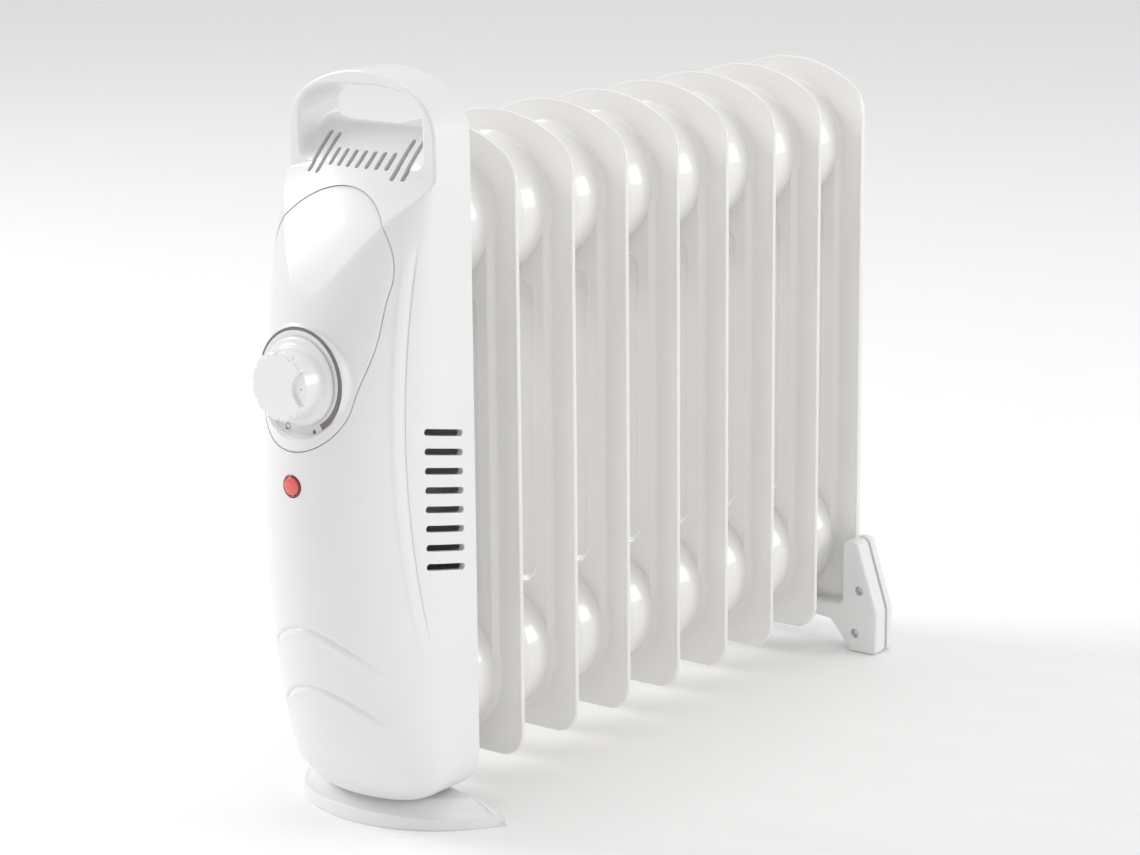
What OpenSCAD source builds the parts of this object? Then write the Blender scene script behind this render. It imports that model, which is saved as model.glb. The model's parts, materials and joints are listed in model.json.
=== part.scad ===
/* [Radiator] */
// Height of one fin
fin_h = 300; // [250:1:360]
// Width of one fin
fin_w = 92; // [84:1:112]
// Distance from one fin to the next
fin_pitch = 42.5; // [36:0.5:52]
// Radius of the crowned top edge of a fin
crown_r = 68; // [60:1:120]
// Radius of a fin's two top corners
fin_top_r = 20; // [10:1:26]
// Radius of a fin's two bottom corners
fin_bottom_r = 12.5; // [6:0.5:20]
// Thickness of the pressed steel sheet
sheet = 1; // [0.6:0.1:1.2]
// Height of the pressed oil channel above the flat margin
channel_rise = 3.4; // [2:0.1:5]
// Outer radius of the header barrels
header_r = 32.5; // [27:0.5:36]
// Height of the lower header above a fin's bottom edge
header_low = 40.5; // [38:0.5:50]
// Depth of the upper header below a fin's top edge
header_drop = 45; // [42:0.5:60]
// Width of the pinched panel between the headers
panel_w = 49; // [36:1:56]

/* [Housing] */
// Width of the control housing
house_w = 86; // [80:1:108]
// Depth of the flat side band of the housing
band_depth = 24.5; // [18:0.5:34]
// Gap from the housing's back to the first fin
house_gap = 30; // [24:0.5:40]
// Height of the handle's top above the fins
handle_rise = 27.5; // [22:0.5:40]
// Thickness of the handle bar over the finger opening
handle_bar = 6.5; // [5:0.5:9]
// Half width of the finger opening
opening_half = 34; // [28:0.5:35]
// Wall thickness of the front cover
wall = 3; // [2.4:0.1:3.6]
// Thickness of the back cover
back_t = 2.4; // [1.6:0.1:3]
// Depth of the convex bow in front of the side band
bow_depth = 51.8; // [44:0.2:60]
// Radius of the sloping vented top
slope_r = 170; // [165:1:200]
// Radius of the housing's bottom corners
house_bottom_r = 20; // [12:1:24]
// Thickness of the dial plate
plate_t = 1.6; // [1.2:0.1:2]
// Width of a vent slot
slot_w = 2.4; // [1.6:0.1:3]
// Radius of the power lamp's lens
lamp_r = 5; // [4:0.1:6]

/* [Dial] */
// Radius of the knob's face
knob_face_r = 15.5; // [12:0.5:17]
// Radius of the knob's skirt
knob_skirt_r = 20; // [18:0.5:22]
// Height of the knob above its seat
knob_h = 14.7; // [12:0.1:20]
// Radius of the thermostat spindle
spindle_r = 3; // [2.5:0.1:3.5]
// Running clearance of the spindle in its bush
spindle_gap = 0.05; // [0.02:0.01:0.09]

/* [Feet] */
// Height of the fins above the floor
foot_h = 20; // [16:0.5:30]
// Half width of the front foot
front_foot_half = 62; // [52:0.5:80]
// Front arc radius of the front foot
front_foot_r = 67.8; // [66:0.2:90]
// Half width of the rear foot
rear_foot_half = 64; // [60:0.5:80]
// Height of the rear foot's legs
rear_leg_h = 62; // [50:1:80]
// Depth of the rear foot in front of the last fin
leg_front_t = 11; // [8:0.5:14]
// Depth of the rear foot behind the last fin
leg_back_t = 7; // [5:0.5:12]
// Radius of the cord gland's open bore
gland_bore_r = 3.4; // [2.5:0.1:3.6]

/* [Fits] */
// Gap between parts that are assembled together
fit = 0.3; // [0.2:0.05:0.5]
// Shank radius of the self-tapping screws
screw_r = 1.6; // [1.2:0.1:2]

/* [Hidden] */
$fn = 64;
eps = 0.01;

// --- heights above the floor ---
fin_top = foot_h + fin_h;
low_z = foot_h + header_low;
high_z = fin_top - header_drop;
house_top = fin_top + handle_rise;
house_bottom = 12;
sill_z = house_top - 26;
knob_z = house_top - 133;
lamp_z = knob_z - 46.5;
bow_mid_z = house_bottom + 151;
bow_top_z = house_top - 46;

// --- places along the length: the first fin's plane is Y = fin_y(0) ---
fin_count = 8;                                    // one node for each
rear_stub = 4;                                    // rear barrels stand out behind the rear foot
seat_sink = 4.1;                                  // knob seat below the bow's crest
band_back = house_gap;
band_front = house_gap + band_depth;
seat_y = band_front + bow(knob_z) - seat_sink;
front_reach = seat_y + fit + knob_h;              // first fin to the knob's face
back_reach = (fin_count - 1) * fin_pitch + leg_back_t + rear_stub;
first_fin_y = (front_reach - back_reach) / 2;
function fin_y(i) = first_fin_y + i * fin_pitch;
function on_front(d) = first_fin_y - d;           // a place d in front of the first fin

half = house_w / 2;
stub = house_gap + 8;                             // header stubs end inside the housing
bore_r = header_r - sheet;
screw_head_r = 1.5 * screw_r;
pin_r = 1.5;
rod_r = 4.2;                                      // heating element tube
rod_x = 6.5;
flange_r = 17;
gland_x = -half + 15;
gland_z = 152;
gland_r = gland_bore_r + 2.4;
bracket_y = band_back + back_t + 0.8;
bracket_t = 1.2;
seat_r = knob_skirt_r + 1.2;
bush_r = 5;
block_z = 150;
tip_z = 82;                                       // pendulum pin of the tip-over switch
tip_y = 71;
shelf_z = house_bottom + wall + 0.3;              // bracket shelf on the housing's floor
shelf_t = 1.6;
shelf_depth = 26;
foot_screw_x = 12;
foot_screw_y = bracket_y + bracket_t + 18;
bracket_screws_at = [for (x = [-14, 14], z = [low_z + 50, high_z - 50]) [x, z]];

// points on an arc about c, from angle a to angle b
function arc(c, r, a, b, n = 10) = [for (i = [0:n]) c + r * [cos(a + (b - a) * i / n), sin(a + (b - a) * i / n)]];
function mirrored(p) = [for (i = [len(p) - 1:-1:0]) [-p[i].x, p[i].y]];

// --- crowned outline shared by the fins and the housing, bottom edge at z0 ---
// right half: bottom corner, side, top corner and crown, with tangent arcs
function right_outline(w, z0, z1, rb, rt, rc, n) =
    let (cx = w - rt, d = rc - rt, zc = z1 - rc + sqrt(d * d - cx * cx), a = atan2(zc - (z1 - rc), cx))
    concat(arc([w - rb, z0 + rb], rb, -90, 0, n), arc([cx, zc], rt, 0, a, 8), arc([0, z1 - rc], rc, a, 89, 8));
function crowned(w, z0, z1, rb, rt, rc, n = 8) =
    let (p = right_outline(w, z0, z1, rb, rt, rc, n)) concat(p, mirrored(p));

// extrude a drawing in X and Z from y0 back to y1
module along_y(y0, y1) {
    translate([0, y1, 0]) rotate([90, 0, 0]) linear_extrude(y1 - y0) children();
}
module rod_y(x, z, r, y0, y1) {
    translate([x, y1, z]) rotate([90, 0, 0]) cylinder(r = r, h = y1 - y0);
}
module cone_y(x, z, r0, r1, y0, y1) {
    translate([x, y0, z]) rotate([-90, 0, 0]) cylinder(r1 = r0, r2 = r1, h = y1 - y0);
}
// screw lying along Y: head outside at y, shank running in direction dir
module screw_y(x, z, y, length, dir) {
    y_head = y - dir * 1.8;
    rod_y(x, z, screw_head_r, min(y, y_head), max(y, y_head));
    rod_y(x, z, screw_r, min(y, y + dir * length), max(y, y + dir * length));
}

// ---------------- fins ----------------
module stadium(r) {
    translate([0, low_z]) circle(r);
    translate([0, high_z]) circle(r);
    translate([-r, low_z]) square([2 * r, high_z - low_z]);
}
module panel_2d(w) {
    span = high_z - low_z - 2 * header_r - 2;
    translate([0, (low_z + high_z) / 2]) {
        square([w, span - 16], center = true);
        square([w - 16, span], center = true);
        for (x = [-1, 1], z = [-1, 1]) translate([x * (w / 2 - 8), z * (span / 2 - 8)]) circle(8);
    }
}
module fin(i) {
    y = fin_y(i);
    rise = channel_rise + sheet;
    front = i == 0 ? first_fin_y - stub : y - fin_pitch / 2;
    back = i == fin_count - 1 ? y + leg_back_t + rear_stub : y + fin_pitch / 2;
    color("whitesmoke") difference() {
        union() {
            along_y(y - sheet, y + sheet) polygon(crowned(fin_w / 2, foot_h, fin_top, fin_bottom_r, fin_top_r, crown_r));
            along_y(y - rise, y + rise) stadium(header_r);
            for (z = [low_z, high_z]) {
                rod_y(0, z, header_r, front, back);
                cone_y(0, z, header_r, header_r + 3, y - sheet - 4, y - sheet);
                cone_y(0, z, header_r + 3, header_r, y + sheet, y + sheet + 4);
            }
        }
        // pinched panel on both faces
        along_y(y - rise - 1, y - rise + 1.8) panel_2d(panel_w);
        along_y(y + rise - 1.8, y + rise + 1) panel_2d(panel_w);
        // oil space: channel between the sheets and the two headers
        along_y(y - channel_rise + 1.8, y + channel_rise - 1.8) stadium(bore_r - 2);
        for (z = [low_z, high_z]) rod_y(0, z, bore_r, front - 1, back + 1);
    }
}
module rear_header_caps() {
    y = fin_y(fin_count - 1) + leg_back_t + rear_stub;
    color("whitesmoke") for (z = [low_z, high_z]) {
        rod_y(0, z, bore_r, y - 5, y - 3);
        rod_y(0, z, bore_r - 4, y - 3, y - 1);
    }
}
module header_plate(z, hole_r) {
    difference() {
        rod_y(0, z, bore_r, on_front(stub), on_front(stub) + 2);
        rod_y(0, z, hole_r, on_front(stub) - 1, on_front(stub) + 3);
    }
}
module upper_header_plate() color("silver") header_plate(high_z, 6);
module lower_header_plate() color("silver") header_plate(low_z, flange_r - 4);
module filler_plug() {
    y = on_front(stub);
    color("goldenrod") {
        translate([0, y, high_z]) rotate([90, 0, 0]) cylinder(r = 9, h = 5, $fn = 6);
        rod_y(0, high_z, 6 - 0.05, y, y + 8);
    }
}

// ---------------- heating element ----------------
module element_gasket() {
    y = on_front(stub);
    color("dimgray") difference() {
        rod_y(0, low_z, flange_r, y - 1.5, y);
        rod_y(0, low_z, flange_r - 4 + fit, y - 2.5, y + 1);
    }
}
module element_flange() {
    y = on_front(stub);
    color("goldenrod") difference() {
        union() {
            translate([0, y - 1.5, low_z]) rotate([90, 0, 0]) cylinder(r = flange_r + 2, h = 6, $fn = 6);
            rod_y(0, low_z, flange_r - 4 - 0.05, y - 2, y + 6);
        }
        for (x = [-1, 1]) rod_y(x * rod_x, low_z, rod_r + 0.02, y - 9, y + 7);
    }
}
element_end = fin_y(fin_count - 1) - 30;
module heating_element() {
    y = on_front(stub) - 10;
    color("slategray") {
        for (x = [-1, 1]) {
            rod_y(x * rod_x, low_z, rod_r, y, element_end);
            rod_y(x * rod_x, low_z, 1.4, y - 12, y + 1);
        }
        translate([0, element_end, low_z]) rotate_extrude(angle = 180) translate([rod_x, 0]) circle(rod_r);
    }
}
module terminal_insulators() {
    y = on_front(stub) - 10;
    color("ivory") for (x = [-1, 1]) difference() {
        rod_y(x * rod_x, low_z, 3.4, y - 6, y);
        rod_y(x * rod_x, low_z, 1.42, y - 7, y + 1);
    }
}

// ---------------- safety cut-out on the upper header plate ----------------
cutout_z = high_z - 20;
bracket_bite = 1.8;                               // bracket screws' hold in the back cover
module thermal_cutout() {
    y = on_front(stub);
    color("saddlebrown") {
        rod_y(0, cutout_z, 8, y - 6, y);
        for (x = [-4.5, 4.5]) translate([x - 1.5, y - 13, cutout_z - 0.4]) cube([3, 7 + eps, 0.8]);
    }
}
module cutout_strap() {
    y = on_front(stub);
    color("silver") {
        translate([-14, y - 7.2, cutout_z - 7]) cube([28, 1, 5]);
        for (x = [-14, 13]) translate([x, y - 7.2, cutout_z - 7]) cube([1, 7.2, 5]);
    }
}

// ---------------- housing ----------------
function bow(z) =
    let (up = (z - bow_mid_z) / (bow_top_z - bow_mid_z), down = (bow_mid_z - z) / 151)
    z >= bow_mid_z ? bow_depth * sqrt(max(0, 1 - up * up))
                   : max(bow_depth * sqrt(max(0, 1 - down * down)), 12 * bow_depth / 51.8);
// half width at a height: the bottom corners are round
function width_at(z, inset) =
    let (r = house_bottom_r, t = r - (z - house_bottom))
    half - inset - (t > 0 ? r - sqrt(max(0, r * r - t * t)) : 0);
// one level section of the housing, from its back to the bow's front
function section(z, inset, back) =
    let (w = width_at(z, inset), d = max(0.2, bow(z) - inset), y = on_front(band_front))
    concat([[w, back], [w, y]],
           [for (a = [10:10:170]) [w * cos(a), y - d * sin(a)]],
           [[-w, y], [-w, back]]);
levels = concat([for (a = [0:18:90]) house_bottom + house_bottom_r * (1 - cos(a))],
                [50, 78, 106, 134],
                [for (a = [0:9:90]) bow_mid_z + (bow_top_z - bow_mid_z) * sin(a)]);
module bow_hull(inset, back) {
    hull() for (z = levels) {
        zz = max(house_bottom + inset, min(z, bow_top_z - inset));
        translate([0, 0, zz]) linear_extrude(eps) polygon(section(z, inset, back));
    }
}
// solid under the sloping vented top
module under_slope(inset) {
    intersection() {
        translate([-half, on_front(band_front) + 115.5, house_top - 165.3 + 170 - slope_r])
            rotate([0, 90, 0]) cylinder(r = slope_r - inset, h = house_w, $fn = 120);
        translate([-half, on_front(150), 0]) cube([house_w, 150, sill_z - inset]);
    }
}
module body_solid(inset, back = on_front(band_back)) {
    intersection() {
        bow_hull(inset, back);
        union() {
            under_slope(inset);
            translate([-half, on_front(150), 0]) cube([house_w, 150, knob_z - 30]);
        }
    }
}
module house_outline(inset) {
    polygon(crowned(half - inset, house_bottom + inset, house_top - inset, house_bottom_r - inset, 24 - inset, 62 - inset, 5));
}
module opening_2d() {
    polygon(crowned(opening_half, sill_z - 60, house_top - handle_bar, 10, 15, 56));
}
// teardrop: two tangent circles, the lower one about the knob
plate_low_z = knob_z - 4.5;
plate_high_z = knob_z + 47;
module teardrop(grow) {
    r0 = 26.3 + grow;
    r1 = 35.3 + grow;
    a = asin((r1 - r0) / (plate_high_z - plate_low_z));
    polygon(concat(arc([0, plate_high_z], r1, -a, 180 + a, 24), arc([0, plate_low_z], r0, 180 + a, 360 - a, 20)));
}
screw_places = [for (x = [-1, 1], z = [102, knob_z + 22]) [x * (half - 10), z]];
module vents() {
    // top vents: seven short slots between two pairs of long ones
    for (i = [-5:5]) {
        long = abs(i) > 3;
        z0 = sill_z - (long ? 21 : 17.8);
        z1 = sill_z - (long ? 6 : 10.6);
        x = i * 5.45;
        translate([x - slot_w / 2, on_front(band_front + 14), z0]) rotate([38, 0, 0])
            translate([0, 0, -4]) cube([slot_w, long ? 24 : 10, 9]);
    }
}
module side_vents() {
    for (k = [0:7], s = [-1, 1]) translate([s * (half - 3), on_front(band_front - 7), 125.5 + k * 8.9])
        rotate([-11, 0, 0]) rotate([0, 90, 0]) translate([0, 0, -6]) {
            cylinder(r = 1.5, h = 14, $fn = 24);
            translate([0, -17, 0]) cylinder(r = 1.5, h = 14, $fn = 24);
            translate([-1.5, -17, 0]) cube([3, 17, 14]);
        }
}
// flat band whose top is the carry handle
module handle_arch() {
    difference() {
        along_y(on_front(band_front), on_front(band_back)) intersection() {
            house_outline(0);
            translate([-half, sill_z - 60]) square([house_w, 100]);
        }
        difference() {
            along_y(on_front(band_front + 1), on_front(band_back - 1)) opening_2d();
            under_slope(0);
        }
    }
}
// hollow inside, open at the back
module cavity() {
    back = on_front(band_back - 1);
    body_solid(wall, back);
    intersection() {
        translate([-half + wall, on_front(band_front - wall), sill_z - 50])
            cube([house_w - 2 * wall, band_depth - wall + 1, 50 - wall]);
        under_slope(wall);
    }
}
module front_cover() {
    boss_y = on_front(band_front - 0.5);
    boss_end = on_front(bracket_y + bracket_t + 1);
    color("white") difference() {
        union() {
            difference() {
                union() {
                    body_solid(0);
                    handle_arch();
                }
                cavity();
            }
            // screw bosses on the side walls, for the back cover
            for (p = screw_places)
                translate([p.x > 0 ? p.x - 4.5 : -half + wall / 2, boss_y, p.y - 4.5])
                    cube([half - wall / 2 - abs(p.x) + 4.5, boss_end - boss_y, 9]);
        }
        for (p = screw_places) rod_y(p.x, p.y, screw_r, on_front(band_front - 1), on_front(band_back));
        for (x = [-1, 1]) translate([x * foot_screw_x, on_front(foot_screw_y), house_bottom - 3])
            cylinder(r = screw_r + 0.4, h = wall + 6);
        // recess for the dial plate, and its seat
        difference() {
            along_y(on_front(150), on_front(band_front + 2)) teardrop(fit);
            body_solid(plate_t + 0.1);
        }
        rod_y(0, knob_z, seat_r + plate_t + fit, on_front(150), on_front(band_front + 10));
        rod_y(0, lamp_z, lamp_r + 0.05, on_front(150), on_front(band_front + 10));
        vents();
        side_vents();
    }
}
module dial_plate() {
    color("white") difference() {
        union() {
            intersection() {
                along_y(on_front(150), on_front(band_front + 2)) teardrop(0);
                difference() {
                    body_solid(0);
                    body_solid(plate_t);
                }
            }
            rod_y(0, knob_z, seat_r + plate_t, on_front(seat_y + 0.5), on_front(seat_y - 4));
        }
        rod_y(0, knob_z, seat_r, on_front(150), on_front(seat_y));
        rod_y(0, knob_z, seat_r, on_front(seat_y - plate_t - 0.4), on_front(seat_y - 5));
        rod_y(0, knob_z, bush_r + 0.05, on_front(150), on_front(80));
    }
}
module rear_cover() {
    y0 = on_front(band_back + back_t);
    y1 = on_front(band_back);
    color("white") difference() {
        intersection() {
            along_y(y0, y1) house_outline(wall + fit);
            translate([-half, y0 - 1, 0]) cube([house_w, back_t + 2, sill_z - wall - 1]);
        }
        for (z = [low_z, high_z]) rod_y(0, z, header_r + 0.8, y0 - 1, y1 + 1);
        for (p = screw_places) rod_y(p.x, p.y, screw_r + 0.2, y0 - 1, y1 + 1);
        for (p = bracket_screws_at) rod_y(p.x, p.y, screw_r, y0 - 1, y0 + bracket_bite);
        rod_y(gland_x, gland_z, gland_r + 0.05, y0 - 1, y1 + 1);
    }
}
module cover_screws() {
    color("silver") for (p = screw_places) screw_y(p.x, p.y, on_front(band_back), 14, -1);
}
module mounting_bracket() {
    y0 = on_front(bracket_y + bracket_t);
    y1 = on_front(bracket_y);
    w = half - wall - 2;
    plate_z = house_bottom + house_bottom_r;      // plate starts above the round corners
    tab = 17;
    color("silver") difference() {
        union() {
            translate([-w, y0, plate_z]) cube([2 * w, bracket_t, sill_z - 8 - plate_z]);
            translate([-tab, y0, shelf_z]) cube([2 * tab, bracket_t, plate_z - shelf_z + eps]);
            // folded shelf that the front foot is screwed to
            translate([-tab, y0 - shelf_depth, shelf_z]) cube([2 * tab, shelf_depth + eps, shelf_t]);
        }
        for (z = [low_z, high_z]) rod_y(0, z, header_r + 0.05, y0 - 1, y1 + 1);
        for (p = screw_places) rod_y(p.x, p.y, screw_r + 0.4, y0 - 1, y1 + 1);
        for (p = bracket_screws_at) rod_y(p.x, p.y, screw_r + 0.1, y0 - 1, y1 + 1);
        rod_y(gland_x, gland_z, gland_r + 1.6, y0 - 1, y1 + 1);
        for (x = [-1, 1]) translate([x * foot_screw_x, on_front(foot_screw_y), shelf_z - 1])
            cylinder(r = screw_r, h = shelf_t + 2);
    }
}
module bracket_screws() {
    y0 = on_front(bracket_y + bracket_t);
    color("silver") for (p = bracket_screws_at)
        screw_y(p.x, p.y, y0, bracket_y + bracket_t - band_back - back_t + bracket_bite, 1);
}

// ---------------- dial and thermostat ----------------
module knob() {
    y_base = on_front(seat_y + fit);
    y_face = y_base - knob_h;
    color("white") difference() {
        union() {
            cone_y(0, knob_z, knob_face_r - 0.8, knob_face_r, y_face, y_face + 0.8);
            rod_y(0, knob_z, knob_face_r, y_face + 0.8, y_base - 5);
            cone_y(0, knob_z, knob_face_r, knob_skirt_r - 1, y_base - 6, y_base - 2.4);
            rod_y(0, knob_z, knob_skirt_r, y_base - 2.4, y_base);
        }
        // hollow back with a hub for the spindle
        difference() {
            rod_y(0, knob_z, knob_face_r - 2, y_face + 2.4, y_base + 1);
            rod_y(0, knob_z, spindle_r + 2, y_face, y_base - 7);
        }
        rod_y(0, knob_z, spindle_r, y_face + 3, y_base + 1);
        // grip notches round the rim, and the pointer scoop
        for (a = [30:30:330]) rotate_notch(a, y_face);
        translate([knob_face_r + 5.5, y_face - 1, knob_z]) rotate([-90, 0, 0]) cylinder(r = 9.5, h = 1.8);
    }
}
module rotate_notch(a, y_face) {
    translate([knob_face_r * cos(a), y_face - 1, knob_z + knob_face_r * sin(a)]) rotate([-90, 0, 0])
        cylinder(r = 0.7, h = knob_h - 8, $fn = 16);
}
module thermostat_spindle() {
    color("goldenrod") rod_y(0, knob_z, spindle_r, on_front(seat_y + fit + knob_h - 3.2), on_front(seat_y - 16));
}
module thermostat_bush() {
    color("goldenrod") difference() {
        union() {
            rod_y(0, knob_z, bush_r, on_front(seat_y + 5), on_front(seat_y - 10));
            rod_y(0, knob_z, bush_r + 3, on_front(seat_y - plate_t - 0.4), on_front(seat_y - 4.5));
        }
        rod_y(0, knob_z, spindle_r + spindle_gap, on_front(seat_y + 6), on_front(seat_y - 11));
    }
}
module thermostat_nut() {
    color("silver") difference() {
        translate([0, on_front(seat_y + 0.05), knob_z]) rotate([90, 0, 0]) cylinder(r = 8.4, h = 3, $fn = 6);
        rod_y(0, knob_z, bush_r + 0.02, on_front(seat_y + 4), on_front(seat_y - 1));
    }
}
module thermostat_body() {
    y0 = on_front(seat_y - 10);
    color("ivory") difference() {
        translate([-11, y0, knob_z - 16]) cube([22, 14, 32]);
        rod_y(0, knob_z, spindle_r + 0.6, y0 - 1, y0 + 7);
        // slot for the bimetal strip
        translate([-5, y0 + 9, knob_z - 17]) cube([10, 6, 26]);
    }
}
module bimetal_strip() {
    y0 = on_front(seat_y - 10);
    color("darkkhaki") {
        translate([-4, y0 + 10.2, knob_z - 21]) cube([8, 1, 28]);
        translate([-4, y0 + 9 + eps, knob_z - 4]) cube([8, 1.3, 4]);
    }
}

// ---------------- power lamp ----------------
lamp_y = band_front + bow(lamp_z);
module lamp_lens() {
    color("red") {
        rod_y(0, lamp_z, lamp_r, on_front(lamp_y + 0.3), on_front(lamp_y - 5));
        cone_y(0, lamp_z, lamp_r - 1.4, lamp_r, on_front(lamp_y + 1.2), on_front(lamp_y + 0.3 - eps));
    }
}
module lamp_holder() {
    color("ivory") difference() {
        rod_y(0, lamp_z, lamp_r + 1.6, on_front(lamp_y - 5), on_front(lamp_y - 24));
        rod_y(0, lamp_z, lamp_r - 1.6, on_front(lamp_y - 4), on_front(lamp_y - 20));
    }
}

// ---------------- tip-over switch ----------------
tip_half = 7;                                     // half depth of the switch frame
module tip_switch_frame() {
    base_z = tip_z - 28;
    leg_top = base_z - shelf_z - shelf_t;
    back_y = bracket_y + bracket_t + shelf_depth - 3.4;
    color("dimgray") difference() {
        union() {
            for (y = [tip_y + tip_half, tip_y - tip_half + 2])
                translate([-13, on_front(y), base_z]) cube([26, 2, 34]);
            translate([-13, on_front(tip_y + tip_half), base_z]) cube([26, tip_y + tip_half - back_y, 2]);
            for (x = [-13, 9]) translate([x, on_front(back_y + 3.2), shelf_z + shelf_t]) cube([4, 3.2, leg_top + eps]);
        }
        rod_y(0, tip_z, pin_r, on_front(tip_y + 12), on_front(tip_y - 12));
    }
}
module tip_pin() {
    color("silver") rod_y(0, tip_z, pin_r, on_front(tip_y + tip_half), on_front(tip_y - tip_half));
}
module tip_pendulum() {
    color("silver") difference() {
        union() {
            rod_y(0, tip_z, 4, on_front(tip_y + 4), on_front(tip_y - 4));
            translate([-1.5, on_front(tip_y + 2), tip_z - 14]) cube([3, 4, 12]);
            rod_y(0, tip_z - 15, 6.5, on_front(tip_y + 4), on_front(tip_y - 4));
        }
        rod_y(0, tip_z, pin_r + 0.05, on_front(tip_y + 6), on_front(tip_y - 6));
    }
}
module tip_microswitch() {
    color("black") translate([-10, on_front(tip_y + tip_half), tip_z + 6]) cube([20, 2 * tip_half, 8]);
}

// ---------------- wiring ----------------
module terminal_block() {
    y1 = on_front(bracket_y + bracket_t);
    color("ivory") difference() {
        translate([-15, y1 - 14, block_z - 9]) cube([30, 14, 18]);
        for (x = [-9.5, 0, 9.5]) {
            translate([x, y1 - 8, block_z - 10]) cylinder(r = 1.9, h = 20);
            rod_y(x, block_z, 2, y1 - 15, y1 - 8);
        }
    }
}
module terminal_screws() {
    y1 = on_front(bracket_y + bracket_t);
    color("goldenrod") for (x = [-9.5, 0, 9.5]) rod_y(x, block_z, 1.9, y1 - 13, y1 - 9.95);
}
// a wire of radius r through a list of points, as an eight-sided tube
module wire(points, r) {
    n = len(points);
    ring = [for (k = [0:7]) r * [cos(k * 45), sin(k * 45)]];
    function along(i) = let (a = max(0, i - 1), b = min(n - 1, i + 1), v = points[b] - points[a]) v / norm(v);
    function side(t) = let (c = cross(t, [0.2, 1, 0.1])) c / norm(c);
    verts = [for (i = [0:n - 1]) let (t = along(i), u = side(t), w = cross(t, u))
             for (q = ring) points[i] + q.x * u + q.y * w];
    walls = [for (i = [0:n - 2], k = [0:7]) let (a = i * 8, m = (k + 1) % 8)
             each [[a + k, a + 8 + k, a + 8 + m], [a + k, a + 8 + m, a + m]]];
    polyhedron(verts, concat([[for (k = [0:7]) k]], walls, [[for (k = [7:-1:0]) (n - 1) * 8 + k]]));
}
wire_r = 1.1;
wire_y = on_front(bracket_y + bracket_t) - 8;
module live_wire() {
    color("brown") wire([[-9.5, wire_y, block_z + 2], [-9.5, wire_y, block_z + 22],
        [-20, wire_y - 6, block_z + 34], [-20, on_front(seat_y - 26), knob_z - 6], [-12, on_front(seat_y - 18), knob_z - 6]], wire_r);
}
module neutral_wire() {
    color("steelblue") wire([[0, wire_y, block_z - 2], [0, wire_y, block_z - 22],
        [-rod_x, wire_y - 8, low_z + 30], [-rod_x, on_front(stub) - 21, low_z + 20], [-rod_x, on_front(stub) - 21, low_z + 1.4]], wire_r);
}
module earth_wire() {
    color("yellowgreen") wire([[9.5, wire_y, block_z - 2], [9.5, wire_y, block_z - 16],
        [22, wire_y, block_z - 24], [24, on_front(bracket_y + bracket_t + 0.7), block_z - 30]], wire_r);
}
module cord_gland() {
    y1 = on_front(band_back);
    color("dimgray") difference() {
        union() {
            rod_y(gland_x, gland_z, gland_r, y1 - back_t - 1.5, y1 + 1);
            rod_y(gland_x, gland_z, gland_r + 1.5, y1, y1 + 3.5);
        }
        rod_y(gland_x, gland_z, gland_bore_r, y1 - back_t - 3, y1 + 5);
    }
}

// ---------------- feet ----------------
// how far the back edge curves in behind the tips
foot_back_rise = 14;
// plan of the front foot: a front arc and a flatter back arc between two rounded tips
module front_foot_plan(inset) {
    r = front_foot_r - inset;
    cy = on_front(3.2);
    a = acos((front_foot_half - inset) / front_foot_r);
    tip = cy - r * sin(a);
    polygon(concat(arc([0, cy], r, 180 + a, 360 - a, 28),
        [for (i = [1:9]) let (t = 1 - i / 5) [r * cos(a) * t, tip + foot_back_rise * (1 - t * t)]]));
}
module front_foot() {
    color("white") difference() {
        union() {
            linear_extrude(3) front_foot_plan(0);
            translate([0, 0, 3 - eps]) linear_extrude(2) front_foot_plan(3);
            translate([0, 0, 5 - 2 * eps]) linear_extrude(2.4) front_foot_plan(7);
            // saddle that stands up into the gap under the housing
            intersection() {
                linear_extrude(house_bottom - 0.2) front_foot_plan(13);
                translate([-26, on_front(66), 0]) cube([52, 50, house_bottom - 0.2]);
            }
        }
        for (x = [-1, 1]) translate([x * foot_screw_x, on_front(foot_screw_y), -1]) {
            cylinder(r = screw_r + 0.2, h = 30);
            cylinder(r = screw_head_r + 0.3, h = 6);
        }
    }
}
module front_foot_screws() {
    color("silver") for (x = [-1, 1]) translate([x * foot_screw_x, on_front(foot_screw_y), 3.2]) {
        cylinder(r = screw_head_r, h = 1.8);
        cylinder(r = screw_r, h = shelf_z + shelf_t - 1.2);
    }
}
// face of the rear foot: two legs that lean out, joined by an arched bar under the last fin
leg_lap = 3.7;                                    // legs overlap the fin's margin
arch_z = foot_h - 3.2;
bar_z = foot_h + 6;
module rear_foot_2d() {
    o = rear_foot_half;
    inner = fin_w / 2 - leg_lap;
    right = concat([[26.5, arch_z], [34.8, arch_z - 0.7], [40, foot_h - 9.8], [47.2, 0]],
        arc([o - 3, 3], 3, -90, 0, 4), [[o, foot_h + 4.3]],
        arc([inner + 6.2, rear_leg_h - 4.5], 4.5, 20, 90, 5),
        arc([inner + 4, rear_leg_h - 4], 4, 90, 180, 4), [[inner, bar_z]]);
    difference() {
        polygon(concat(right, mirrored(right)));
        translate([0, low_z]) circle(header_r + 3.6);
    }
}
last_y = fin_y(fin_count - 1);
grip = sheet + 0.2;                               // half the slot that grips the last fin
leg_holes = [for (s = [-1, 1], p = [[fin_w / 2 + 7.2, foot_h + 14.9], [fin_w / 2 + 5, foot_h - 9.3]]) [s * p.x, p.y]];
module rear_foot_front() {
    color("white") difference() {
        along_y(last_y - leg_front_t, last_y - grip) rear_foot_2d();
        for (p = leg_holes) {
            rod_y(p.x, p.y, screw_head_r + 0.2, last_y - leg_front_t - 1, last_y - leg_front_t + 4);
            rod_y(p.x, p.y, screw_r + 0.2, last_y - leg_front_t - 1, last_y);
        }
    }
}
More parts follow.
